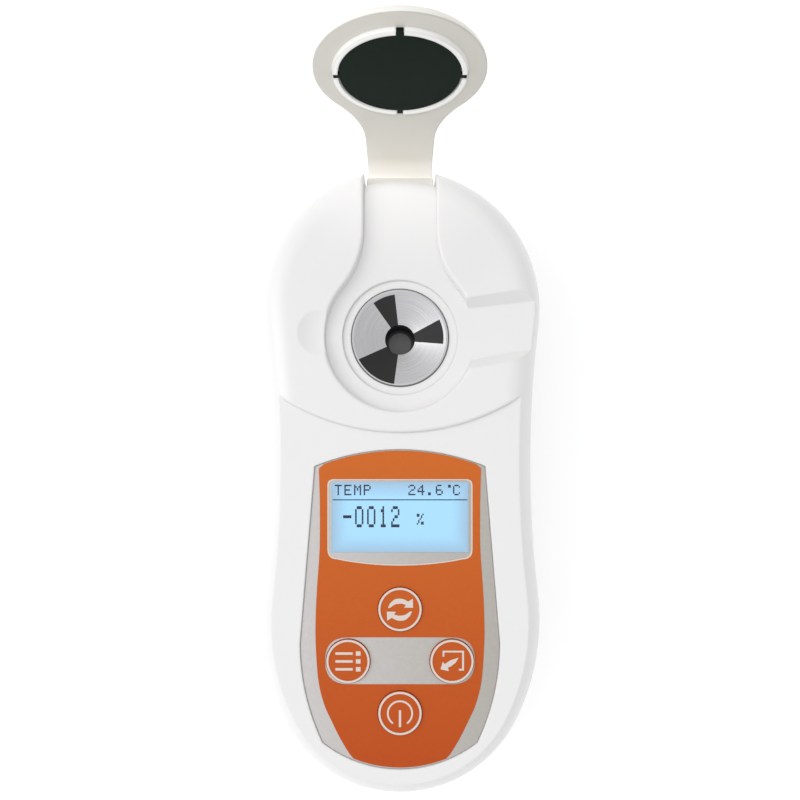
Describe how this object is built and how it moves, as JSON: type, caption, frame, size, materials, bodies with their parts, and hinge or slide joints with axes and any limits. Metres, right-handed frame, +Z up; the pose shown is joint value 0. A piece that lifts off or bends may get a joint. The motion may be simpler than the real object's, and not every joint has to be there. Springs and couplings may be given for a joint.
{
  "type": "digital refractometer",
  "caption": "Pocket digital refractometer: rounded white case with a steel sample dish under a hinged light flap, a lit display, sprung keys and a battery door.",
  "frame": {"origin": "centre of the flat back of the case, on the face it lies on", "axes": "+X to the right across the face, +Y along the case towards the flap's hinge, +Z up out of the face"},
  "size_m": [0.056, 0.1287, 0.0587],
  "materials": {
    "shell_white": "smooth moulded plastic, soft gloss",
    "flap_white": "smooth moulded plastic, soft gloss",
    "pad_black": "smooth dense foam rubber",
    "steel": "ground steel",
    "dish_steel": "turned stainless steel, bright",
    "seal_rubber": "matt seal",
    "housing_black": "matt black, kills stray light",
    "prism_glass": "polished optical glass",
    "lamp_amber": "clear lamp body",
    "lens_glass": "polished",
    "board_green": "solder mask",
    "chip_black": "moulded epoxy",
    "probe_steel": "plain steel tip",
    "overlay_orange": "printed film, fine satin",
    "window_clear": "clear, glossy",
    "backlight_white": "diffuser",
    "display_blue": "lit display face behind glass",
    "ribbon_amber": "flexible polyimide",
    "key_orange": "same printed film as the overlay",
    "switch_black": "moulded switch",
    "cell_jacket": "plain sleeve",
    "contact_steel": "nickel-plated spring steel",
    "screw_steel": "zinc-plated"
  },
  "bodies": {
    "case": {"bottom_case": "shell_white", "top_case": "shell_white", "hinge_pin": "steel", "sample_dish": "dish_steel", "dish_gasket": "seal_rubber", "optics_housing": "housing_black", "prism": "prism_glass", "led_lamp": "lamp_amber", "focusing_lens": "lens_glass", "sensor_board": "board_green", "light_sensor": "chip_black", "thermistor": "probe_steel", "panel_overlay": "overlay_orange", "display_window": "window_clear", "display_backlight": "backlight_white", "display_glass": "display_blue", "display_ribbon": "ribbon_amber", "main_board": "board_green", "tact_switches": "switch_black", "processor": "chip_black", "battery_cell": "cell_jacket", "battery_contacts": "contact_steel", "case_screws": "screw_steel", "board_screws": "screw_steel", "optics_screws": "screw_steel"},
    "flap": {"flap": "flap_white", "flap_pad": "pad_black"},
    "key_cycle": {"key_cycle": "key_orange"},
    "key_menu": {"key_menu": "key_orange"},
    "key_enter": {"key_enter": "key_orange"},
    "key_power": {"key_power": "key_orange"},
    "battery_door": {"battery_door": "shell_white"}
  },
  "joints": [
    {"name": "flap_hinge", "type": "hinge", "parent": "case", "child": "flap", "pos_m": [0, 0.057, 0.0155], "axis": [1, 0, 0], "range_deg": [0, 90.9]},
    {"name": "key_cycle_press", "type": "slide", "parent": "case", "child": "key_cycle", "axis": [0, 0, -1], "range_m": [0, 0.0004], "stiffness_N_per_m": 300, "springref_m": -0.0002},
    {"name": "key_menu_press", "type": "slide", "parent": "case", "child": "key_menu", "axis": [0, 0, -1], "range_m": [0, 0.0004], "stiffness_N_per_m": 300, "springref_m": -0.0002},
    {"name": "key_enter_press", "type": "slide", "parent": "case", "child": "key_enter", "axis": [0, 0, -1], "range_m": [0, 0.0004], "stiffness_N_per_m": 300, "springref_m": -0.0002},
    {"name": "key_power_press", "type": "slide", "parent": "case", "child": "key_power", "axis": [0, 0, -1], "range_m": [0, 0.0004], "stiffness_N_per_m": 300, "springref_m": -0.0002},
    {"name": "battery_door_hinge", "type": "hinge", "parent": "case", "child": "battery_door", "pos_m": [0, -0.0525, 0], "axis": [-1, 0, 0], "range_deg": [0, 60]}
  ]
}
